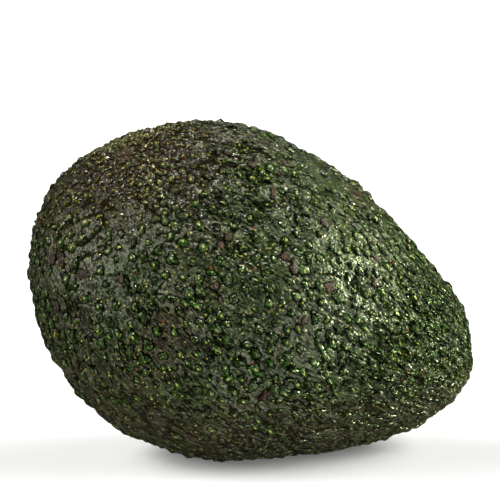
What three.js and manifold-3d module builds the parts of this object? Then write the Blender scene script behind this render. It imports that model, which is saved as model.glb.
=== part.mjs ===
import * as THREE from "three";
import { mergeVertices } from "three/addons/utils/BufferGeometryUtils.js";
import Module from "manifold-3d";

// A whole avocado with dark pebbled skin, lying on its side. Millimetres, +Z up.
// The wide blossom end points to -X and up, the narrow stem end to +X and down, as the
// fruit settles under its own weight. The origin is on the surface the fruit rests on,
// under the middle of its bounding box.
//
// The fruit is shaped in its own frame first: its long axis is X, with the stem end at +X.

// Driving dimensions: lengths in millimetres, angles in degrees.
const LENGTH = 100; // blossom end to stem end

// Half the fruit's width, as a share of half its length, is GIRTH * sqrt(1 - t * t), where
// t runs from -1 at the blossom end to 1 at the stem end. GIRTH is the sum of these terms.
const GIRTH_MEAN = 0.6825;
const GIRTH_TAPER = -0.1906; // times t
const GIRTH_CROWN = -0.109; // times t squared
const GIRTH_NECK = 0.0912; // times t cubed
const GIRTH_ENDS = 0.0252; // times t to the fourth
const BEND = 1.13; // how far both ends curve up from a straight axis
const FLANKS = 0.006; // the rounded section is this share out of round, on three broad flanks
const FLANKS_TURN = 40; // where round the axis the first flank stands out

const DROOP = 21.2; // the stem end hangs this far below level
const YAW = 12; // and it is turned this far towards +Y
const FLAT_DEPTH = 0.8; // the small resting flat is this deep, cut from the lowest point

// The stem dimple, on the narrow end, a little off the long axis.
const STEM_OFF_AXIS = 15; // as seen from the fruit's centre
const STEM_TURN = -20; // round the axis from +Y, positive towards +Z
const DIMPLE_DEPTH = 2.4;
const DIMPLE_RADIUS = 5;

// The blossom scar, on the wide end, well off the long axis.
const SCAR_OFF_AXIS = 141;
const SCAR_TURN = 108;
const SCAR_DEPTH = 0.5;
const SCAR_RADIUS = 4;

// The stem button: the dried stub of the stalk, seated in the dimple.
const BUTTON_RADIUS = 3.8;
const BUTTON_HEIGHT = 3.4;
const BUTTON_CLEARANCE = 0.3; // between the button and the skin, all round its lower edge
const TIP_RADIUS = 14; // of the curve of the smooth skin round the dimple

// The button's outline, turned round its axis: a slightly rounded underside, sides that flare
// a little, and a top that has shrunk in the middle. Shares of its radius and of its height.
const BUTTON_OUTLINE = [
  [0, -0.12],
  [0.6, -0.09],
  [0.86, 0.03],
  [0.94, 0.35],
  [1, 0.72],
  [0.9, 0.93],
  [0.66, 1],
  [0.3, 0.92],
  [0, 0.88],
];
const LOWER_EDGE = BUTTON_OUTLINE[2][0];

// How finely the surfaces are cut.
const SKIN_DIVISIONS = 15; // each icosahedron edge is cut into one more piece than this
const BUTTON_SIDES = 32;
const BUTTON_RINGS = 16;
const SHORT_STEP = 0.01; // on a sphere of radius 1
const WELD_DISTANCE = 0.0001;

const skinMaterial = new THREE.MeshStandardMaterial({
  name: "skin",
  color: 0x2f3b22,
  roughness: 0.42,
  metalness: 0,
});
const stemMaterial = new THREE.MeshStandardMaterial({
  name: "stem",
  color: 0x6b4f33,
  roughness: 0.85,
  metalness: 0,
});

const wasm = await Module();
wasm.setup();

const radians = THREE.MathUtils.degToRad;

// A unit vector at an angle from the stem end's axis, turned round that axis from +Y.
function direction(offAxis, turn) {
  const across = Math.sin(radians(offAxis));
  return new THREE.Vector3(
    Math.cos(radians(offAxis)),
    across * Math.cos(radians(turn)),
    across * Math.sin(radians(turn)),
  );
}

// The smooth fruit's surface, for a unit vector on a sphere round its centre.
function eggPoint(unit) {
  const t = unit.x;
  const girth =
    GIRTH_MEAN + t * (GIRTH_TAPER + t * (GIRTH_CROWN + t * (GIRTH_NECK + t * GIRTH_ENDS)));
  const turn = Math.atan2(unit.z, unit.y) - radians(FLANKS_TURN);
  const flanks = 1 + FLANKS * Math.cos(3 * turn) * (1 - t * t);
  const half = LENGTH / 2;
  return new THREE.Vector3(
    half * t,
    half * girth * flanks * unit.y,
    half * girth * flanks * unit.z + BEND * t * t,
  );
}

// The outward normal of the smooth fruit, from two short steps along its surface.
function eggNormal(unit) {
  const side = new THREE.Vector3(0, 0, 1).cross(unit).normalize();
  const up = unit.clone().cross(side);
  const along = (way) => {
    const ahead = eggPoint(unit.clone().addScaledVector(way, SHORT_STEP).normalize());
    const behind = eggPoint(unit.clone().addScaledVector(way, -SHORT_STEP).normalize());
    return ahead.sub(behind);
  };
  return along(side).cross(along(up)).normalize();
}

// A round hollow pressed into the skin round a point of the smooth fruit, on that side only.
function makeHollow(unit, depth, radius) {
  const centre = eggPoint(unit);
  const normal = eggNormal(unit);
  const press = (point) => {
    const offset = point.clone().sub(centre);
    const height = offset.dot(normal);
    const across = offset.addScaledVector(normal, -height).length();
    const fall = height > -LENGTH / 4 ? Math.exp(-((across / radius) ** 2)) : 0;
    return point.addScaledVector(normal, -depth * fall);
  };
  return { centre, normal, press };
}

const dimple = makeHollow(direction(STEM_OFF_AXIS, STEM_TURN), DIMPLE_DEPTH, DIMPLE_RADIUS);
const scar = makeHollow(direction(SCAR_OFF_AXIS, SCAR_TURN), SCAR_DEPTH, SCAR_RADIUS);

// The turn that lays the fruit down: the stem end drops, then swings towards +Y.
const lying = new THREE.Matrix4()
  .makeRotationZ(radians(YAW))
  .multiply(new THREE.Matrix4().makeRotationY(radians(DROOP)));

// Leaves position as a geometry's only attribute and merges its shared vertices.
function welded(geometry) {
  geometry.deleteAttribute("normal");
  geometry.deleteAttribute("uv");
  return mergeVertices(geometry, WELD_DISTANCE);
}

function toSolid(geometry) {
  const mesh = new wasm.Mesh({
    numProp: 3,
    vertProperties: new Float32Array(geometry.attributes.position.array),
    triVerts: new Uint32Array(geometry.index.array),
  });
  return new wasm.Manifold(mesh);
}

function toGeometry(solid) {
  const { vertProperties, triVerts } = solid.getMesh();
  const geometry = new THREE.BufferGeometry();
  geometry.setAttribute("position", new THREE.BufferAttribute(vertProperties, 3));
  geometry.setIndex(new THREE.BufferAttribute(triVerts, 1));
  geometry.computeVertexNormals();
  return geometry;
}

// The fruit, laid down, with its lowest point a flat's depth below z = 0 and cut off there.
function makeFruit() {
  const geometry = welded(new THREE.IcosahedronGeometry(1, SKIN_DIVISIONS));
  const position = geometry.attributes.position;
  const unit = new THREE.Vector3();
  for (let i = 0; i < position.count; i += 1) {
    unit.fromBufferAttribute(position, i).normalize();
    const point = scar.press(dimple.press(eggPoint(unit)));
    position.setXYZ(i, point.x, point.y, point.z);
  }
  geometry.applyMatrix4(lying);
  geometry.computeBoundingBox();
  const lift = -geometry.boundingBox.min.z - FLAT_DEPTH;
  geometry.translate(0, 0, lift);

  const below = new THREE.BoxGeometry(2 * LENGTH, 2 * LENGTH, LENGTH);
  below.translate(0, 0, -LENGTH / 2);
  const solid = toSolid(geometry).subtract(toSolid(welded(below)));
  const fruit = new THREE.Mesh(toGeometry(solid), skinMaterial);
  fruit.name = "fruit";
  return { fruit, lift };
}

// The stem button, turned round its own Y axis and seated on the dimple's floor.
function makeStemButton() {
  const corners = BUTTON_OUTLINE.map(
    ([across, up]) => new THREE.Vector2(across * BUTTON_RADIUS, up * BUTTON_HEIGHT),
  );
  const points = new THREE.SplineCurve(corners).getPoints(BUTTON_RINGS);
  points[0].x = 0;
  points[points.length - 1].x = 0;
  const button = new THREE.Mesh(
    new THREE.LatheGeometry(points, BUTTON_SIDES),
    stemMaterial,
  );
  button.name = "stem_button";

  // The dimple's floor under the button's lower edge, below the smooth fruit's surface.
  const edge = LOWER_EDGE * BUTTON_RADIUS;
  const floor =
    -(edge ** 2) / (2 * TIP_RADIUS) - DIMPLE_DEPTH * Math.exp(-((edge / DIMPLE_RADIUS) ** 2));
  button.position.copy(dimple.centre).addScaledVector(dimple.normal, floor + BUTTON_CLEARANCE);
  button.quaternion.setFromUnitVectors(new THREE.Vector3(0, 1, 0), dimple.normal);
  return button;
}

const { fruit, lift } = makeFruit();

// The button is placed in the fruit's own frame, and its group lays it down with the fruit.
const stemEnd = new THREE.Group();
stemEnd.add(makeStemButton());
stemEnd.quaternion.setFromRotationMatrix(lying);
stemEnd.position.z = lift;

const avocado = new THREE.Group();
avocado.name = "avocado";
const resting = new THREE.Group();
resting.add(fruit, stemEnd);
const box = new THREE.Box3().setFromObject(resting, true);
const middle = box.getCenter(new THREE.Vector3());
resting.position.set(-middle.x, -middle.y, 0);
avocado.add(resting);

export default avocado;
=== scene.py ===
import math
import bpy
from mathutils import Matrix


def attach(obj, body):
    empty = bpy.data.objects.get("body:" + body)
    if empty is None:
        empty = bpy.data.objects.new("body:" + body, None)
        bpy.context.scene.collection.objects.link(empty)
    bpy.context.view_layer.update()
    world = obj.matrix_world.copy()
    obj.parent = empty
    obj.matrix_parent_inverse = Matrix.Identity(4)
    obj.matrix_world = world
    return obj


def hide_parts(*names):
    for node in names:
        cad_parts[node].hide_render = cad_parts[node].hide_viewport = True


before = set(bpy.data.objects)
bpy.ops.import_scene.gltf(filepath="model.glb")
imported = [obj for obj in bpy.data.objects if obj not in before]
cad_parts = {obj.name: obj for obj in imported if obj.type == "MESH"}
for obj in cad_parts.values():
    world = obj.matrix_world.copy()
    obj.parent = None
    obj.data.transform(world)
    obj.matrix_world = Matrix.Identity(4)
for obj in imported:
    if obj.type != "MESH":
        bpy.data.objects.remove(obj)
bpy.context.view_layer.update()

from types import SimpleNamespace

import bpy
import numpy as np
from mathutils import Vector
from mathutils.bvhtree import BVHTree
from mathutils.kdtree import KDTree

# A whole avocado with dark pebbled skin, lying on its side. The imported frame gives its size
# and place. Lengths named here are millimetres and angles are degrees, unless they say so.
MM = 0.001
SEED = 7

# How the fruit lies: its own axis points to the stem end, DROOP below level, YAW towards +Y.
DROOP = 21.2
YAW = 12

# Places on the skin: how far each is off that axis, and how far round it from the fruit's own +Y.
STEM = (15, -20)
SCAR = (141, 108)
LEDGE = (111, 128)  # where the skin is most folded
GREEN = (105, 166)  # the greenest patch

SKIN_CELLS = 126  # cells along each edge of the six patches that make the skin
SMOOTHING_ROUNDS = 14  # enough to hide the facets of the frame's surface
SKIN_LIFT = 0.4  # how far the ground between the warts stands off the frame's surface
BARE_FLOOR_GAP = 0.35  # the skin between the warts that carry the fruit clears the floor by this
SCAR_HALF_SIZE = (1.6, 3.2, 3.2)

# Warts, before they vary from region to region. The spacing is the least from one to the next.
LARGE_SPACING, LARGE_RADIUS, LARGE_HEIGHT = 2.65, 0.84, 0.5
SMALL_SPACING, SMALL_RADIUS, SMALL_HEIGHT = 1.5, 0.55, 0.1
CORKY_SHARE = 0.07  # of the large ones

# The stem stub's outline, from the middle of its foot to the middle of its sunken top, as
# shares of its radius and of its height.
STEM_OUTLINE = (
    (0.0, -0.15), (0.8, -0.15), (1.0, -0.02), (0.99, 0.2), (0.9, 0.45), (0.91, 0.7), (0.97, 0.86),
    (0.93, 0.97), (0.82, 1.0), (0.7, 0.94), (0.62, 0.82), (0.4, 0.74), (0.2, 0.76), (0.0, 0.78),
)
STEM_SIDES = 96
STEM_RINGS = 40

# The camera.
CAMERA_ELEVATION = 9
CAMERA_DISTANCE = 686
FRAME_WIDTH = 107.2  # what the picture spans, at the fruit
AIM_ABOVE = 11.5  # the picture's middle is this far above the fruit's
AIM_LEFT = 0.7  # and this far to the left of it
SENSOR = 36

# The lamps and the floor, in metres and linear colours.
LAMP_TARGET = (0, 0, 0.035)
WARM = (1.0, 0.98, 0.86)
GREENISH = (0.88, 1.0, 0.6)
FLOOR_SIDE = 8.0
FLOOR_WHITE = (0.93, 0.925, 0.915, 1)


# ---------------------------------------------------------------- directions and random fields

def direction(off_axis, turn):
    """A unit vector at an angle from the stem end's axis, turned round it from +Y."""
    a, b = math.radians(off_axis), math.radians(turn)
    return np.array([math.cos(a), math.sin(a) * math.cos(b), math.sin(a) * math.sin(b)])


def lying_axes():
    """The fruit's own X, Y and Z axes as it lies, one in each row."""
    d, y = math.radians(DROOP), math.radians(YAW)
    along = (math.cos(d) * math.cos(y), math.cos(d) * math.sin(y), -math.sin(d))
    side = (-math.sin(y), math.cos(y), 0)
    return np.array([along, side, np.cross(along, side)])


def step(low, high, value):
    """0 below low, 1 above high, and smooth between them."""
    share = np.clip((value - low) / (high - low), 0, 1)
    return share * share * (3 - 2 * share)


def bell(value, width):
    """1 where the value is 0, and falling away smoothly on both sides of it."""
    return np.exp(-((value / width) ** 2))


def waves(points, length, rng, count=28, stretch=(1, 1, 1)):
    """A smooth random field over points, mostly within -1 to 1, with swells of about one length."""
    ways = rng.normal(size=(count, 3))
    ways /= np.linalg.norm(ways, axis=1)[:, None]
    ways *= rng.uniform(0.6, 1.4, count)[:, None] * 2 * np.pi / length
    phases = rng.uniform(0, 2 * np.pi, count)
    return np.cos((points / np.array(stretch)) @ ways.T + phases).sum(1) / math.sqrt(count)


def grain_of(units, stem_way, scar_way):
    """How the skin's grain runs over a ball, in arcs from the blossom scar to the stem.

    Returns each unit vector moved so that those two lie on the X axis and the arcs between
    them are meridians, and the way uphill along the grain at each."""
    middle = stem_way + scar_way
    middle /= np.linalg.norm(middle)
    lean = stem_way @ middle
    spread = math.sqrt(1 - lean**2)
    first = (stem_way - lean * middle) / spread
    second = np.cross(middle, first)
    x, y, z = units @ first, units @ second, units @ middle
    near = 1 - lean * z
    moved = np.stack([spread * x, spread * y, z - lean], 1) / near[:, None]
    uphill = first / near[:, None] + lean * (x / near**2)[:, None] * middle
    return moved, uphill


# ---------------------------------------------------------------- the smooth skin

def sphere_patches(cells):
    """A sphere of six square patches: unit vertices, quads facing out, and each corner's UV."""
    turn = np.tan(np.linspace(-np.pi / 4, np.pi / 4, cells + 1))
    across, up = np.meshgrid(turn, turn, indexing="ij")
    axes = np.eye(3)
    points, quads, uvs = [], [], []
    index = np.arange((cells + 1) ** 2).reshape(cells + 1, cells + 1)
    corners = [index[:-1, :-1], index[1:, :-1], index[1:, 1:], index[:-1, 1:]]
    quad = np.stack([c.ravel() for c in corners], 1)
    share = np.linspace(0.006, 0.994, cells + 1)
    flat = np.stack(np.meshgrid(share, share, indexing="ij"), -1).reshape(-1, 2)
    for face in range(6):
        out, sign = axes[face // 2], 1 - 2 * (face % 2)
        first = axes[(face // 2 + 1) % 3]
        second = np.cross(sign * out, first)
        patch = sign * out + across[..., None] * first + up[..., None] * second
        points.append(patch.reshape(-1, 3))
        quads.append(quad + face * len(flat))
        cell = np.array([face % 3, face // 3])
        uvs.append((flat + cell) / (3, 2))
    points, quads, uvs = np.concatenate(points), np.concatenate(quads), np.concatenate(uvs)
    points /= np.linalg.norm(points, axis=1)[:, None]
    _, keep, merged = np.unique(
        np.round(points, 6), axis=0, return_index=True, return_inverse=True
    )
    return points[keep], merged.reshape(-1)[quads], uvs[quads]


def edges_of(quads):
    """Each edge of the quads, once."""
    pairs = np.concatenate([quads[:, [k, (k + 1) % 4]] for k in range(4)])
    return np.unique(np.sort(pairs, axis=1), axis=0)


def smoothed(values, edges, rounds):
    """values with each vertex moved towards the mean of its neighbours, several times."""
    count = len(values)
    a, b = edges.T
    degree = np.bincount(a, minlength=count) + np.bincount(b, minlength=count)
    columns = values.reshape(count, -1).T.copy()
    for _ in range(rounds):
        for column in columns:
            total = np.bincount(a, column[b], count) + np.bincount(b, column[a], count)
            column += 0.5 * (total / degree - column)
    return columns.T.reshape(values.shape)


def normals_of(points, quads):
    """The outward unit normal at each vertex."""
    p = points[quads]
    face = np.cross(p[:, 2] - p[:, 0], p[:, 3] - p[:, 1])
    total = np.stack(
        [np.bincount(quads.ravel(), np.repeat(face[:, k], 4), len(points)) for k in range(3)], 1
    )
    return total / np.linalg.norm(total, axis=1)[:, None]


def node_corners(node):
    """A CAD node's vertices, in millimetres."""
    return np.array([v.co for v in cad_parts[node].data.vertices]) / MM


def node_surface(node, centre, ways):
    """Where rays from centre along ways meet a CAD node's surface, in millimetres."""
    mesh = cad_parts[node].data
    corners = [v.co / MM for v in mesh.vertices]
    tree = BVHTree.FromPolygons(corners, [tuple(p.vertices) for p in mesh.polygons])
    start = Vector(centre)
    return np.array([tree.ray_cast(start, Vector(way))[0] for way in ways])


class Skin:
    """The fruit's smooth skin: its mesh, and where each vertex is in the fruit's own axes.

    place is measured along those axes from the fruit's middle. flow is the same, but bent so
    that its X runs along the grain. along is the way of the grain on the skin."""

    def __init__(self, rng):
        self.rng = rng
        self.own = lying_axes()
        corners = node_corners("fruit") @ self.own.T
        lowest, highest = corners.min(0), corners.max(0)
        self.half = (highest - lowest) / 2
        self.centre = (lowest + highest) / 2 @ self.own

        self.units, self.quads, self.uvs = sphere_patches(SKIN_CELLS)
        points = node_surface("fruit", self.centre, self.units * self.half @ self.own)
        self.points = smoothed(points, edges_of(self.quads), SMOOTHING_ROUNDS)
        self.normals = normals_of(self.points, self.quads)
        self.place = (self.points - self.centre) @ self.own.T

        poles, uphill = grain_of(self.units, direction(*STEM), direction(*SCAR))
        self.flow = poles * self.half
        along = uphill / self.half @ self.own
        along -= self.normals * (along * self.normals).sum(1)[:, None]
        self.along = along / np.linalg.norm(along, axis=1)[:, None]

        self.tree = KDTree(len(self.points))
        for i, point in enumerate(self.points):
            self.tree.insert(point, i)
        self.tree.balance()

    def offsets(self, spot):
        """Each vertex's offset from a spot on the skin, given as a direction from the middle."""
        return self.points - self.points[np.argmax(self.units @ direction(*spot))]

    def away_from(self, spot):
        """How far each vertex is from a spot on the skin."""
        return np.linalg.norm(self.offsets(spot), axis=1)

    def near(self, point, reach):
        """The vertices within reach of a point."""
        return np.array([i for _, i, _ in self.tree.find_range(point, reach)], int)

    def scatter(self, spacing):
        """Vertices picked at random, none closer to another than the spacing there."""
        free = np.ones(len(self.points), bool)
        picked = []
        for i in self.rng.permutation(len(self.points)):
            if free[i]:
                picked.append(i)
                free[self.near(self.points[i], spacing[i])] = False
        return picked

    def local(self, vertex, reach, angle):
        """The vertices near one, and their places on two axes along the skin there."""
        normal, along = self.normals[vertex], self.along[vertex]
        side = np.cross(normal, along)
        first = math.cos(angle) * along + math.sin(angle) * side
        second = np.cross(normal, first)
        found = self.near(self.points[vertex], reach)
        offset = self.points[found] - self.points[vertex]
        return found, offset @ first, offset @ second


# ---------------------------------------------------------------- the skin's relief

def regions_of(skin):
    """How much each vertex belongs to each region of the skin, from 0 to 1.

    stemward is 1 on the half towards the stem end. calm is how far the relief is kept near the
    stem. to_stem is a distance in millimetres."""
    to_stem = skin.away_from(STEM)
    by_stem = 1 - step(5, 24, to_stem)
    stemward = step(-0.25, 0.5, skin.flow[:, 0] / skin.half[0])
    under = 1 - step(6, 26, skin.points[:, 2])

    # The skin is greener towards the stem end, in one patch, and least underneath.
    by_patch = 1 - step(4, 15, skin.away_from(GREEN))
    leafy = 0.35 + 0.4 * waves(skin.place, 26, skin.rng) + 0.62 * stemward + 0.6 * by_patch
    return SimpleNamespace(
        to_stem=to_stem,
        by_stem=by_stem,
        calm=1 - 0.7 * by_stem,
        by_scar=1 - step(6, 30, skin.away_from(SCAR)),
        by_ledge=1 - step(8, 26, skin.away_from(LEDGE)),
        stemward=stemward,
        under=under,
        leafy=np.clip(leafy, 0, 1) * (1 - 0.75 * under),
    )


def creases_of(skin, at):
    """Broad swells, smaller lumps, folds along the grain with one side higher than the other,
    and fine ridges towards the stem: their height, and the masks their colours need."""
    rng, place, flow = skin.rng, skin.place, skin.flow
    swells = 0.3 * waves(place, 24, rng) + 0.18 * waves(place, 11, rng)
    lumps = 0.1 * waves(flow, 4, rng, stretch=(1.6, 1, 1))
    fold = waves(flow, 5.6, rng, count=40, stretch=(2.0, 1, 1))
    open_fold = np.clip(step(-0.3, 0.7, waves(flow, 13, rng)) + 0.6 * at.by_ledge, 0, 1)
    open_fold *= at.calm
    folds = 0.2 * (1 + 1.3 * at.by_ledge) * np.tanh(3 * fold) - 0.2 * bell(fold, 0.22)
    ridge = waves(flow, 2.7, rng, count=40, stretch=(3.4, 1, 1))
    ridges = 0.14 * np.maximum(ridge, -0.3) * at.stemward * (1 - 0.5 * at.by_stem)

    ridged = np.clip(at.stemward + 0.7 * at.by_ledge, 0, 1) * (1 - 0.8 * at.by_stem)
    ridged *= (1 - at.by_scar) * (1 - 0.7 * at.under)
    masks = {"fold": fold, "open_fold": open_fold, "ridged": ridged}
    return swells + lumps + folds * open_fold + ridges, masks


def stamp_warts(skin, spacing, sizes, heights, stretch, wobble):
    """Warts over the whole skin.

    Returns their height, how far each vertex is from its wart's middle as a share of the
    way to the foot, and each wart's number."""
    rng = skin.rng
    height = np.zeros(len(skin.points))
    shares = np.full(len(skin.points), 2.0)
    number = np.full(len(skin.points), -1)
    for count, vertex in enumerate(skin.scatter(spacing)):
        size = sizes[vertex] * rng.uniform(0.7, 1.25)
        long = 1 + (stretch[vertex] - 1) * rng.uniform(0.2, 1.8)
        turned = rng.normal(0, 0.7 / long)
        tall = heights[vertex] * rng.uniform(0.55, 1.35)
        found, u, v = skin.local(vertex, size * long * 2, turned)
        share = np.hypot(u / (size * long), v / size)
        share *= 1 + 0.3 * wobble[found] * step(0.1, 0.8, share)
        dome = tall * np.clip(1 - share**2, 0, 1) ** 0.8
        height[found] = np.maximum(height[found], dome)
        nearer = share < shares[found]
        hit = found[nearer]
        shares[hit] = share[nearer]
        number[hit] = count
    return height, shares, number


def warts_of(skin, at, wobble, crowd):
    """The large warts and the small ones between them, each as stamp_warts returns them.

    Round the blossom scar the warts are smaller and closer. Towards the stem they are smaller
    and drawn out along the grain, and near it they are low. wobble makes them less round, and
    crowd sets them further apart in some places than in others."""
    rng, place = skin.rng, skin.place
    everywhere = np.ones(len(skin.points))
    size_varies = 1 + 0.12 * waves(place, 18, rng)
    height_varies = 1 + 0.25 * waves(place, 16, rng)
    large = stamp_warts(
        skin,
        spacing=(LARGE_SPACING - 1.4 * at.by_scar - 0.4 * at.stemward) * crowd,
        sizes=(LARGE_RADIUS - 0.26 * at.by_scar - 0.34 * at.stemward) * size_varies,
        heights=(LARGE_HEIGHT + 0.04 * at.by_scar) * at.calm * height_varies,
        stretch=1.3 + 2.6 * at.stemward,
        wobble=wobble,
    )
    small = stamp_warts(
        skin,
        spacing=SMALL_SPACING * everywhere,
        sizes=SMALL_RADIUS * everywhere,
        heights=SMALL_HEIGHT * at.calm,
        stretch=1.3 * everywhere,
        wobble=wobble,
    )
    return large, small


def make_skin(rng):
    """The skin with its relief: its vertices in millimetres and the masks its material reads."""
    skin = Skin(rng)
    at = regions_of(skin)
    creases, masks = creases_of(skin, at)
    crowd = 1 + 0.2 * waves(skin.place, 14, rng)
    wobble = waves(skin.place, 1.5, rng, count=40)
    (large, share, number), (small, _, _) = warts_of(skin, at, wobble, crowd)
    moat = 0.07 * bell(share - 1.25, 0.25) * at.calm
    height = np.maximum(large, small) - moat + creases

    # A few warts have dried, corky caps with a sunken middle.
    count = number.max() + 1
    tint = rng.random(count)[number]
    corky = (rng.random(count) < CORKY_SHARE)[number] & (at.stemward < 0.4)
    cork = np.where(corky, np.clip(1.3 - share, 0, 1), 0.0) * (1 - at.by_scar)
    height += 0.16 * step(0.1, 0.45, cork) - 0.3 * step(0.6, 1.0, cork)

    # The blossom scar is a shallow dry hollow, longer than wide.
    across = skin.offsets(SCAR) @ skin.own.T
    oval = np.linalg.norm(across / np.array(SCAR_HALF_SIZE), axis=1)
    scar = 1 - step(0.6, 1.15, oval * (1 + 0.15 * wobble))
    height -= 0.25 * scar + 0.8 * (large + small) * scar

    # The dimple round the stem is bare, with a lip at the stem's foot and fine wrinkles round it.
    height *= step(4.5, 7.5, at.to_stem)
    height += 0.3 * bell(at.to_stem - 4.7, 0.5) * (1 + 0.3 * wobble)
    rings = np.sin((at.to_stem + 1.3 * waves(skin.place, 10, rng)) * 2 * np.pi / 1.7)
    height += 0.045 * rings * (1 - step(9, 27, at.to_stem)) * step(2.5, 5, at.to_stem)

    height += SKIN_LIFT
    points = skin.points + skin.normals * height[:, None]
    lowest = BARE_FLOOR_GAP * (1 - np.clip(large / 0.4, 0, 1))
    points[:, 2] = np.maximum(points[:, 2], lowest)

    masks.update(flow=skin.flow, wart_share=share, tint=tint, cork=cork, scar=scar)
    masks.update(by_scar=at.by_scar, by_stem=at.by_stem, leafy=at.leafy, under=at.under)
    return skin, points, masks


# ---------------------------------------------------------------- the stem stub

def cracks(turns, count, width, rng):
    """1 along each of several random directions round the stem, and 0 away from them."""
    found = np.zeros_like(turns)
    for middle in rng.uniform(0, 2 * np.pi, count):
        gap = np.abs((turns - middle + np.pi) % (2 * np.pi) - np.pi)
        found = np.maximum(found, bell(gap, width) * rng.uniform(0.4, 1))
    return found


def lathe_faces(rings, sides):
    """Quads between rings of vertices, and triangles to the last two, one at each end."""
    index = np.arange(rings * sides).reshape(rings, sides)
    onward = np.roll(index, -1, axis=1)
    quads = np.stack([index[:-1], onward[:-1], onward[1:], index[1:]], -1).reshape(-1, 4)
    foot, top = rings * sides, rings * sides + 1
    faces = quads.tolist()
    faces += [(foot, b, a) for a, b in zip(index[0].tolist(), onward[0].tolist())]
    faces += [(top, a, b) for a, b in zip(index[-1].tolist(), onward[-1].tolist())]
    return faces


def make_stem(centre, rng):
    """The dry stub of the stem: fibrous sides, a ragged rim and a sunken, cracked top.

    It takes its axis, its foot, its height and its radius from the CAD node."""
    corners = node_corners("stem_button")
    heart = corners.mean(0)
    first, second, axis = np.linalg.svd(corners - heart, full_matrices=False)[2]
    if axis @ (heart - centre) < 0:
        axis = -axis
    tall = (corners - heart) @ axis
    foot, height = heart + axis * tall.min(), np.ptp(tall)
    radius = np.hypot((corners - heart) @ first, (corners - heart) @ second).max()

    # r and z are the outline's shares, ring by ring, and then one for each vertex.
    outline = np.array(STEM_OUTLINE)
    lengths = np.hypot(*np.diff(outline, axis=0).T)
    so_far = np.concatenate([[0], np.cumsum(lengths)]) / lengths.sum()
    marks = np.linspace(0, 1, STEM_RINGS + 2)[1:-1]
    r = np.interp(marks, so_far, outline[:, 0])[:, None]
    z = np.interp(marks, so_far, outline[:, 1])[:, None]
    turns = np.linspace(0, 2 * np.pi, STEM_SIDES, endpoint=False)[None, :]
    spot = np.stack([np.cos(turns), np.sin(turns)], -1)[0]
    around = np.concatenate([spot * radius, np.zeros((STEM_SIDES, 1))], 1)
    side = step(0.75, 0.95, r) * np.ones_like(turns)
    top = step(0.6, 0.8, z) * np.ones_like(turns)
    fibres = waves(around, 0.9, rng, count=40)[None, :]
    bulges = waves(around, 4.5, rng)[None, :]
    r = r * (1 + 0.06 * bulges + (0.035 * fibres - 0.1 * cracks(turns, 14, 0.045, rng)) * side)
    z = z + (0.05 * fibres + 0.05 * bulges) * top * np.clip(r * 1.3, 0, 1)
    z = z - 0.14 * cracks(turns, 6, 0.09, rng) * top * step(0.1, 0.4, r)
    spots = np.stack([r * spot[:, 0], r * spot[:, 1], z], -1) * radius
    z = z + 0.03 * waves(spots.reshape(-1, 3), 0.8, rng).reshape(z.shape) * top

    flat = first * (r * spot[:, 0])[..., None] + second * (r * spot[:, 1])[..., None]
    points = foot + flat * radius + axis * (z * height)[..., None]
    ends = foot + axis * (outline[[0, -1], 1] * height)[:, None]
    points = np.concatenate([points.reshape(-1, 3), ends])
    faces = lathe_faces(STEM_RINGS, STEM_SIDES)
    if np.cross(first, second) @ axis < 0:
        faces = [tuple(face)[::-1] for face in faces]
    masks = {"out": np.append(r.ravel(), (0, 0)), "top": np.append(top.ravel(), (0, 1))}
    return points, faces, masks


def mesh_object(name, points, faces, masks, uvs=None):
    """A smooth-shaded object from points in millimetres. Each mask has a value for each point."""
    mesh = bpy.data.meshes.new(name)
    mesh.from_pydata((points * MM).tolist(), [], [list(face) for face in faces])
    mesh.shade_smooth()
    if uvs is not None:
        mesh.uv_layers.new(name="OFBake").data.foreach_set("uv", uvs.reshape(-1))
    for mask, values in masks.items():
        kind, slot = ("FLOAT_VECTOR", "vector") if values.ndim == 2 else ("FLOAT", "value")
        layer = mesh.attributes.new(mask, kind, "POINT")
        layer.data.foreach_set(slot, values.astype(np.float32).ravel())
    made = bpy.data.objects.new(name, mesh)
    bpy.context.scene.collection.objects.link(made)
    return made


# ---------------------------------------------------------------- shader nodes

def add(tree, kind, inputs=(), **settings):
    """A new node with its settings and its inputs, each a value or another node's socket."""
    made = tree.nodes.new(kind)
    for name, value in settings.items():
        setattr(made, name, value)
    for key, value in dict(inputs).items():
        if isinstance(value, bpy.types.NodeSocket):
            tree.links.new(value, made.inputs[key])
        else:
            made.inputs[key].default_value = value
    return made


def calc(tree, operation, *values):
    """A step of arithmetic on one or two values, by its name."""
    made = add(tree, "ShaderNodeMath", dict(enumerate(values)), operation=operation)
    return made.outputs[0]


def chained(tree, operation, values):
    """Several values joined two at a time by an operation."""
    so_far = values[0]
    for value in values[1:]:
        so_far = calc(tree, operation, so_far, value)
    return so_far


def total(tree, *values):
    """The sum of several values."""
    return chained(tree, "ADD", values)


def product(tree, *values):
    """The product of several values."""
    return chained(tree, "MULTIPLY", values)


def most(tree, *values):
    """The largest of several values."""
    return chained(tree, "MAXIMUM", values)


def vector(tree, operation, inputs):
    """A vector worked out from others."""
    return add(tree, "ShaderNodeVectorMath", inputs, operation=operation).outputs[0]


def ramp(tree, value, low, high, start=0.0, end=1.0):
    """start below low, end above high, and smooth between them."""
    inputs = {"Value": value, "From Min": low, "From Max": high, "To Min": start, "To Max": end}
    return add(tree, "ShaderNodeMapRange", inputs, interpolation_type="SMOOTHSTEP").outputs[0]


def hump(tree, value, middle, reach, height=1.0):
    """height where the value is at the middle, 0 beyond reach on either side."""
    gap = calc(tree, "ABSOLUTE", calc(tree, "SUBTRACT", value, middle))
    return ramp(tree, gap, 0.0, reach, height, 0.0)


def blend(tree, share, under, over, kind="MIX"):
    """One colour laid over another by a share."""
    inputs = {0: share, 6: under, 7: over}
    return add(tree, "ShaderNodeMix", inputs, data_type="RGBA", blend_type=kind).outputs[2]


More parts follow.
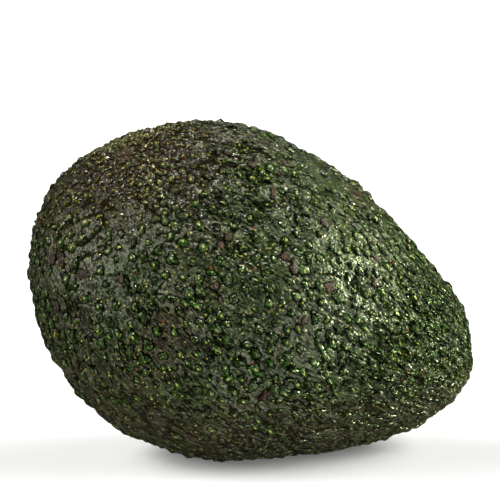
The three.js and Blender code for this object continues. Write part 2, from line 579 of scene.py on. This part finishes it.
def painted(tree, colour, *layers):
    """A colour with others laid over it in turn, each given as its share and its colour."""
    for share, over in layers:
        colour = blend(tree, share, colour, over)
    return colour


def mask(tree, name):
    """The value of one of the mesh's masks."""
    return add(tree, "ShaderNodeAttribute", attribute_name=name).outputs["Fac"]


def own_place(tree):
    """The place on the fruit in millimetres, turned so that X runs along the fruit's own axis."""
    place = add(tree, "ShaderNodeTexCoord").outputs["Object"]
    for axis, angle in (("Z_AXIS", YAW), ("Y_AXIS", DROOP)):
        inputs = {"Vector": place, "Angle": math.radians(-angle)}
        place = add(tree, "ShaderNodeVectorRotate", inputs, rotation_type=axis).outputs[0]
    return vector(tree, "SCALE", {0: place, "Scale": 1 / MM})


def stretched(tree, place, *factors):
    """A place with its X, Y and Z each made larger or smaller, to draw a pattern out."""
    return vector(tree, "MULTIPLY", {0: place, 1: factors})


def bent(tree, place, size, reach):
    """A place shifted about by up to reach, in swirls of about a size."""
    inputs = {"Vector": place, "Scale": 1 / size, "Detail": 1.0}
    swirl = add(tree, "ShaderNodeTexNoise", inputs).outputs["Color"]
    centred = vector(tree, "SUBTRACT", {0: swirl, 1: (0.5, 0.5, 0.5)})
    return vector(tree, "MULTIPLY_ADD", {0: centred, 1: (2 * reach,) * 3, 2: place})


def noise(tree, place, size, detail=2.0, roughness=0.5, distortion=0.0):
    """A noise value with features of about size, where place is in millimetres."""
    inputs = {"Vector": place, "Scale": 1 / size, "Detail": detail, "Roughness": roughness}
    inputs["Distortion"] = distortion
    return add(tree, "ShaderNodeTexNoise", inputs).outputs[0]


def cell_edges(tree, place):
    """How far a place is from the edge of its cell, in a net of irregular cells."""
    inputs = {"Vector": place, "Scale": 1.0}
    cells = add(tree, "ShaderNodeTexVoronoi", inputs, feature="DISTANCE_TO_EDGE")
    return cells.outputs["Distance"]


def speckles(tree, place, spacing, radius, keep):
    """Round specks about a spacing apart, of which a share is kept.

    Returns their mask, a number for each, and how far the middle of the nearest one is, as a
    share of the spacing, whether it was kept or not."""
    inputs = {"Vector": place, "Scale": 1 / spacing, "Randomness": 0.95}
    cells = add(tree, "ShaderNodeTexVoronoi", inputs).outputs
    pick = add(tree, "ShaderNodeSeparateColor", {0: cells["Color"]}).outputs
    edge = product(tree, radius / spacing, total(tree, 0.6, pick[1]))
    near = calc(tree, "DIVIDE", cells["Distance"], edge)
    round_speck = ramp(tree, near, 0.55, 1.0, 1.0, 0.0)
    kept = calc(tree, "LESS_THAN", pick[0], keep)
    return product(tree, round_speck, kept), pick[2], cells["Distance"]


def rgb(red, green, blue):
    """A colour from sRGB numbers of 0 to 255."""
    def linear(c):
        c /= 255
        return c / 12.92 if c <= 0.04045 else ((c + 0.055) / 1.055) ** 2.4
    return (linear(red), linear(green), linear(blue), 1)


def new_material(name):
    """An empty material with a Principled shader: the material, its tree and the shader."""
    made = bpy.data.materials.new(name)
    made.use_nodes = True
    tree = made.node_tree
    tree.nodes.clear()
    shader = add(tree, "ShaderNodeBsdfPrincipled")
    add(tree, "ShaderNodeOutputMaterial", {"Surface": shader.outputs[0]})
    return made, tree, shader


def finish_shader(tree, shader, colour, roughness, relief):
    """Joins a colour, a roughness and a relief in millimetres to a shader."""
    bump = add(tree, "ShaderNodeBump", {"Height": relief, "Distance": MM, "Strength": 1.0})
    tree.links.new(colour, shader.inputs["Base Color"])
    tree.links.new(roughness, shader.inputs["Roughness"])
    tree.links.new(bump.outputs[0], shader.inputs["Normal"])


# ---------------------------------------------------------------- the skin's material

GROUND_OLIVE = rgb(57, 56, 33)
GROUND_BROWN = rgb(42, 36, 23)
GROUND_GREEN = rgb(26, 54, 8)
# A painted pale halo of sheen round each wart.
PAINTED_PALE_HALO = rgb(84, 88, 60)
WART_DARK = rgb(8, 34, 3)
WART_GREEN = rgb(34, 70, 13)
# The warts' pale tops: partly their own colour, partly a painted highlight.
WART_PALE_TOP_AND_HIGHLIGHT = rgb(92, 106, 44)
WART_TIP = rgb(186, 188, 96)
# Painted shade in the crease at each wart's foot.
WART_FOOT_SHADE = rgb(3, 4, 1)
# The crests of the folds: pale wax with a painted highlight.
FOLD_CREST_WAX_AND_SHEEN = rgb(92, 98, 76)
# Painted shade in the creases of the folds.
FOLD_CREASE_SHADE = rgb(6, 8, 2)
# The crests of the small wrinkles: pale wax with a painted highlight.
WRINKLE_CREST_WAX_AND_SHEEN = rgb(78, 108, 44)
# Painted shade in the troughs of the small wrinkles.
WRINKLE_TROUGH_SHADE = rgb(6, 12, 2)
# Painted shade in the gaps of the net of cracks.
NET_GAP_SHADE = rgb(5, 10, 2)
SPECK_GREEN = rgb(76, 100, 16)
SPECK_YELLOW = rgb(196, 190, 84)
SPECK_BY_SCAR = rgb(184, 156, 44)
SPECK_RUST = rgb(140, 58, 24)
# Warts round the blossom scar: yellowish brown, with painted light on their faces.
WART_BY_SCAR_TAN_AND_LIT = rgb(130, 116, 60)
# Painted shade in the gaps between the warts round the blossom scar.
GAP_BY_SCAR_SHADE = rgb(10, 9, 3)
CAP_DARK = rgb(16, 10, 7)
CAP_LIGHT = rgb(104, 80, 66)
CAP_FLECK = rgb(136, 78, 44)
SCAR_DARK = rgb(30, 22, 12)
SCAR_LIGHT = rgb(98, 80, 50)
TINGE_BY_SCAR = rgb(72, 48, 26)
TINGE_UNDER = rgb(58, 44, 34)
TINGE_BY_STEM = rgb(66, 66, 34)
SKIN_MASKS = (
    "wart_share", "tint", "cork", "scar", "by_scar", "by_stem", "fold", "open_fold", "ridged",
    "leafy", "under",
)


def skin_patterns(tree):
    """The masks and patterns that the skin's colour, sheen and relief share."""
    on = SimpleNamespace(**{name: mask(tree, name) for name in SKIN_MASKS})
    on.place = own_place(tree)
    on.flow = add(tree, "ShaderNodeAttribute", attribute_name="flow").outputs["Vector"]
    on.streaky = stretched(tree, on.flow, 0.32, 1, 1)
    on.foot = hump(tree, on.wart_share, 1.0, 0.3)
    on.off_wart = ramp(tree, on.wart_share, 0.9, 1.2)
    on.crease = product(tree, hump(tree, on.fold, 0, 0.26), on.open_fold, on.off_wart)

    # Small wrinkles and a net of cracks: strong where the skin is ridged, faint elsewhere.
    on.strength = total(tree, on.ridged, 0.1)
    on.wrinkle = noise(tree, on.streaky, 1.2, 2, 0.55, 0.6)
    dip = ramp(tree, on.wrinkle, 0.38, 0.48, 0.75, 0.0)
    on.trough = product(tree, dip, total(tree, on.ridged, 0.3))
    on.net = cell_edges(tree, stretched(tree, bent(tree, on.flow, 3.0, 0.4), 0.3, 0.8, 0.8))
    on.gap = product(tree, ramp(tree, on.net, 0.0, 0.16, 0.75, 0.0), on.strength)

    # Grain in short streaks, fine specks, and the crumbly tops of the dried caps.
    on.grain = noise(tree, on.streaky, 0.5, 4, 0.8, 0.4)
    on.dapple = ramp(tree, on.grain, 0.4, 0.6, 0.1, 1.95)
    on.speck, on.speck_number, on.to_speck = speckles(tree, on.place, 0.9, 0.19, 0.6)
    on.crumb = noise(tree, on.place, 0.42, 3, 0.75)
    on.cap = ramp(tree, on.cork, 0.3, 0.5)
    return on


def wart_colours(tree, on):
    """The ground between the warts, the warts and the folds with painted highlights and painted
    shade, and the grain over them all.
    """
    share = on.wart_share

    # The ground: olive grey to brown grey, greener in broad patches.
    broad = noise(tree, on.streaky, 3.5, 3, 0.6, 0.5)
    ground = blend(tree, ramp(tree, broad, 0.38, 0.62), GROUND_OLIVE, GROUND_BROWN)
    ground = blend(tree, product(tree, on.leafy, 0.85), ground, GROUND_GREEN)

    # A painted pale halo round each wart, a greener wart with a pale top, and painted shade at its
    # foot.
    colour = painted(
        tree,
        ground,
        (hump(tree, share, 1.5, 0.3, 0.4), PAINTED_PALE_HALO),
        (ramp(tree, share, 0.75, 1.15, 0.85, 0), blend(tree, on.tint, WART_DARK, WART_GREEN)),
        # The pale top is partly the wart's own colour and partly a painted highlight.
        (ramp(tree, share, 0.05, 0.5, 0.35, 0), WART_PALE_TOP_AND_HIGHLIGHT),
        (on.foot, WART_FOOT_SHADE),
    )

    # Pale waxy crests with a painted highlight, and painted shade in the creases, on folds,
    # wrinkles and the net.
    raised_wax_and_sheen = product(tree, ramp(tree, on.fold, 0.15, 0.8, 0.0, 0.5), on.open_fold)
    crest_wax_and_sheen = product(tree, ramp(tree, on.wrinkle, 0.55, 0.63, 0.0, 0.5), on.strength)
    colour = painted(
        tree,
        colour,
        (product(tree, raised_wax_and_sheen, on.off_wart), FOLD_CREST_WAX_AND_SHEEN),
        (product(tree, on.crease, 0.9), FOLD_CREASE_SHADE),
        (on.trough, WRINKLE_TROUGH_SHADE),
        (crest_wax_and_sheen, WRINKLE_CREST_WAX_AND_SHEEN),
        (on.gap, NET_GAP_SHADE),
    )
    return blend(tree, 1.0, colour, on.dapple, "MULTIPLY")


def speckled(tree, on, colour):
    """A colour with yellowish brown warts round the blossom scar whose faces carry painted light,
    painted shade in the gaps between them, pale tips on some warts, and fine yellow-green specks
    all over, with a few rusty ones."""
    share = on.wart_share
    speck = blend(tree, on.speck_number, SPECK_GREEN, SPECK_YELLOW)
    speck = blend(tree, on.by_scar, speck, SPECK_BY_SCAR)
    tan = ramp(tree, share, 0.2, 0.75, 0.6, 0.0)
    tip = product(tree, ramp(tree, share, 0.1, 0.34, 0.85, 0), ramp(tree, on.tint, 0.4, 0.7))
    rust = speckles(tree, on.place, 2.6, 0.25, 0.5)[0]
    return painted(
        tree,
        colour,
        (product(tree, tan, on.by_scar, on.dapple), WART_BY_SCAR_TAN_AND_LIT),
        (product(tree, ramp(tree, share, 0.75, 1.05, 0.0, 0.9), on.by_scar), GAP_BY_SCAR_SHADE),
        (product(tree, on.speck, 0.85), speck),
        (product(tree, tip, on.dapple), WART_TIP),
        (product(tree, rust, 0.7), SPECK_RUST),
    )


def dried(tree, on, colour):
    """A colour with purple brown caps that have rusty flecks, the dry scar, and a tinge round
    it, round the stem and underneath."""
    fleck = ramp(tree, noise(tree, on.place, 0.7, 2, 0.6), 0.6, 0.7, 0.0, 0.6)
    cap = blend(tree, ramp(tree, on.crumb, 0.46, 0.6), CAP_DARK, CAP_LIGHT)
    scar = blend(tree, ramp(tree, on.crumb, 0.35, 0.65), SCAR_DARK, SCAR_LIGHT)
    return painted(
        tree,
        colour,
        (on.cap, blend(tree, fleck, cap, CAP_FLECK)),
        (product(tree, on.scar, 0.75), scar),
        (product(tree, on.by_scar, 0.2), TINGE_BY_SCAR),
        (product(tree, on.under, 0.3), TINGE_UNDER),
        (product(tree, on.by_stem, 0.4), TINGE_BY_STEM),
    )


def skin_roughness(tree, on):
    """A waxy sheen, glossier on the warts, dull on the caps and the scar."""
    return total(
        tree,
        ramp(tree, noise(tree, on.streaky, 1.8, 3, 0.6), 0.3, 0.7, 0.2, 0.34),
        ramp(tree, on.wart_share, 0.7, 1.2, -0.08, 0.0),
        product(tree, 0.3, on.cap),
        product(tree, 0.3, on.scar),
    )


def skin_mirror(tree, on):
    """How much light the skin mirrors: little in the creases and in the pits of the grain."""
    hollow = most(tree, on.foot, on.crease, total(tree, on.trough, on.gap))
    open_skin = ramp(tree, hollow, 0.0, 0.75, 0.7, 0.04)
    return product(tree, open_skin, ramp(tree, on.grain, 0.4, 0.6, 0.3, 2.0))


def skin_relief(tree, on):
    """The relief that is too fine for the mesh, in millimetres."""
    share = on.wart_share
    crepe = noise(tree, on.streaky, 0.65, 2, 0.55, 0.4)
    pebble = cell_edges(tree, bent(tree, on.place, 2.0, 0.35))
    return total(
        tree,
        product(tree, on.grain, ramp(tree, share, 0.6, 1.1, 0.02, 0.06)),
        product(tree, on.wrinkle, total(tree, product(tree, on.ridged, 0.5), 0.4)),
        product(tree, crepe, total(tree, product(tree, on.ridged, 0.25), 0.12)),
        product(tree, ramp(tree, on.to_speck, 0.0, 0.55, 1.0, 0.0), 0.12),
        product(tree, ramp(tree, pebble, 0.0, 0.4), on.by_scar, 0.3),
        ramp(tree, share, 0.5, 1.1, 0.25, 0.0),
        product(tree, hump(tree, share, 1.1, 0.2), -0.1),
        product(tree, on.crease, -0.3),
        product(tree, ramp(tree, on.net, 0.0, 0.35, 0.0, 0.3), on.strength),
        product(tree, on.crumb, on.cap, 0.8),
    )


def skin_material():
    """Dark pebbled avocado skin."""
    made, tree, shader = new_material("avocado_skin")
    on = skin_patterns(tree)
    colour = dried(tree, on, speckled(tree, on, wart_colours(tree, on)))
    finish_shader(tree, shader, colour, skin_roughness(tree, on), skin_relief(tree, on))
    tree.links.new(skin_mirror(tree, on), shader.inputs["Specular IOR Level"])
    shader.inputs["IOR"].default_value = 1.5
    return made


# ---------------------------------------------------------------- the stem's material

BARK_DARK = rgb(44, 32, 20)
BARK_LIGHT = rgb(110, 88, 62)
BARK_GREEN = rgb(70, 70, 44)
WOOD_DARK = rgb(92, 68, 42)
WOOD_LIGHT = rgb(170, 142, 102)
WOOD_RING = rgb(64, 44, 26)
PITH = rgb(48, 32, 20)


def stem_material():
    """Fibrous bark on the sides, and rings of pale wood round a dark pith on the top."""
    made, tree, shader = new_material("dry_stem")
    place = own_place(tree)
    out, top = mask(tree, "out"), mask(tree, "top")
    crumb = noise(tree, place, 0.35, 4, 0.7, 0.5)
    broad = noise(tree, place, 2.2, 2, 0.6)
    fibre = noise(tree, stretched(tree, place, 0.3, 1, 1), 0.28, 3, 0.6, 0.3)
    bark = blend(tree, ramp(tree, fibre, 0.35, 0.65), BARK_DARK, BARK_LIGHT)
    bark = blend(tree, ramp(tree, broad, 0.5, 0.7, 0.0, 0.6), bark, BARK_GREEN)
    swirl = total(tree, product(tree, out, 5.0), broad)
    ring = calc(tree, "ABSOLUTE", calc(tree, "SUBTRACT", calc(tree, "FRACT", swirl), 0.5))
    wood = painted(
        tree,
        blend(tree, ramp(tree, crumb, 0.35, 0.65), WOOD_DARK, WOOD_LIGHT),
        (ramp(tree, ring, 0.0, 0.25, 0.5, 0.0), WOOD_RING),
        (ramp(tree, out, 0.12, 0.24, 0.8, 0.0), PITH),
    )
    colour = blend(tree, ramp(tree, top, 0.3, 0.9), bark, wood)
    relief = total(
        tree, product(tree, crumb, 0.25), product(tree, fibre, 0.3), product(tree, ring, top, 0.2)
    )
    finish_shader(tree, shader, colour, ramp(tree, crumb, 0.3, 0.7, 0.7, 0.95), relief)
    return made


# ---------------------------------------------------------------- camera, floor and lamps

def put_facing(thing, way):
    """Puts a camera or a lamp in the scene, turned to face along a direction."""
    thing.rotation_mode = "QUATERNION"
    thing.rotation_quaternion = way.to_track_quat("-Z", "Y")
    bpy.context.scene.collection.objects.link(thing)


def make_camera(centre):
    """The camera, in front of the fruit and a little above it."""
    e = math.radians(CAMERA_ELEVATION)
    back = Vector((0, -math.cos(e), math.sin(e)))
    up = Vector((0, math.sin(e), math.cos(e)))
    aim = Vector(centre) + up * AIM_ABOVE - Vector((AIM_LEFT, 0, 0))
    data = bpy.data.cameras.new("camera")
    data.sensor_width = SENSOR
    data.lens = SENSOR * CAMERA_DISTANCE / FRAME_WIDTH
    camera = bpy.data.objects.new("camera", data)
    camera.location = (aim + back * CAMERA_DISTANCE) * MM
    put_facing(camera, -back)
    bpy.context.scene.camera = camera


def make_floor():
    """A white floor that glows a little and isn't mirrored in the fruit."""
    side = FLOOR_SIDE / 2
    mesh = bpy.data.meshes.new("floor")
    corners = [(-side, -side, 0), (side, -side, 0), (side, side, 0), (-side, side, 0)]
    mesh.from_pydata(corners, [], [(0, 1, 2, 3)])
    floor = bpy.data.objects.new("floor", mesh)
    bpy.context.scene.collection.objects.link(floor)
    made, _, shader = new_material("white_floor")
    shader.inputs["Base Color"].default_value = FLOOR_WHITE
    shader.inputs["Roughness"].default_value = 0.6
    shader.inputs["Specular IOR Level"].default_value = 0.2
    shader.inputs["Emission Color"].default_value = (1, 1, 1, 1)
    shader.inputs["Emission Strength"].default_value = 0.13
    mesh.materials.append(made)
    floor.visible_glossy = False
    return floor


def add_lamp(data, way, distance, lit):
    """A lamp at a distance from the fruit, shining at it, that lights the lit objects only."""
    lamp = bpy.data.objects.new(data.name, data)
    way = Vector(way).normalized()
    lamp.location = Vector(LAMP_TARGET) + way * distance
    put_facing(lamp, -way)
    group = bpy.data.collections.new(data.name + "_lights")
    for piece in lit:
        group.objects.link(piece)
    lamp.light_linking.receiver_collection = group
    return lamp


def add_sun(name, way, strength, angle, colour, lit):
    """A distant lamp that looks as wide as an angle."""
    data = bpy.data.lights.new(name, "SUN")
    data.energy = strength
    data.angle = math.radians(angle)
    data.color = colour
    return add_lamp(data, way, 1, lit)


def add_disk(name, way, power, distance, size, colour, lit):
    """A round, flat lamp that is a size across."""
    data = bpy.data.lights.new(name, "AREA")
    data.energy = power
    data.shape = "DISK"
    data.size = size
    data.color = colour
    return add_lamp(data, way, distance, lit)


def make_lamps(pieces, floor):
    """Soft lamps for the fruit, and low ones on both sides that light the floor only.

    The bounce comes from under the floor, as if off it, so the floor doesn't block it."""
    add_sun("overhead", (0.25, -0.2, 1), 2.8, 9, WARM, pieces)
    add_sun("behind", (0.25, 0.62, 0.74), 0.9, 6, WARM, pieces)
    add_disk("key", (0.93, -0.02, 0.36), 1.9, 0.7, 0.3, GREENISH, pieces)
    add_disk("rim", (0.92, 0.3, 0.05), 4.8, 0.7, 0.12, GREENISH, pieces)
    add_disk("fill", (-0.85, -0.3, 0.36), 4.1, 0.8, 1.0, WARM, pieces)
    bounce = add_sun("bounce", (0.7, -0.45, -0.6), 0.95, 60, WARM, pieces)
    bounce.light_linking.blocker_collection = bounce.light_linking.receiver_collection
    for turn in (-120, -100, -80, 80, 100, 120):
        way = (math.sin(math.radians(turn)), -math.cos(math.radians(turn)), 0.6)
        add_sun(f"floor_{turn}", way, 1.6, 40, (1, 1, 1), [floor])


def make_backdrop():
    """White all round as the camera sees it, and dim as a light."""
    world = bpy.data.worlds.new("studio")
    bpy.context.scene.world = world
    world.use_nodes = True
    tree = world.node_tree
    tree.nodes.clear()
    ray = add(tree, "ShaderNodeLightPath").outputs
    diffuse = product(tree, ray["Is Diffuse Ray"], 0.04)
    strength = total(tree, ray["Is Camera Ray"], diffuse, 0.05)
    background = add(tree, "ShaderNodeBackground", {"Color": (1, 1, 1, 1), "Strength": strength})
    add(tree, "ShaderNodeOutputWorld", {"Surface": background.outputs[0]})
    bpy.context.scene.view_settings.view_transform = "Standard"


# ---------------------------------------------------------------- the model

def main():
    """Builds the skin, the stem stub and the studio round them."""
    rng = np.random.default_rng(SEED)
    smooth, points, masks = make_skin(rng)
    make_camera(smooth.centre)

    skin = mesh_object("avocado_skin", points, smooth.quads, masks, smooth.uvs)
    skin.data.materials.append(skin_material())
    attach(skin, "root")
    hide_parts("fruit")

    stem = mesh_object("stem_stub", *make_stem(smooth.centre, rng))
    stem.data.materials.append(stem_material())
    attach(stem, "root")
    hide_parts("stem_button")

    make_lamps([skin, stem], make_floor())
    make_backdrop()


main()
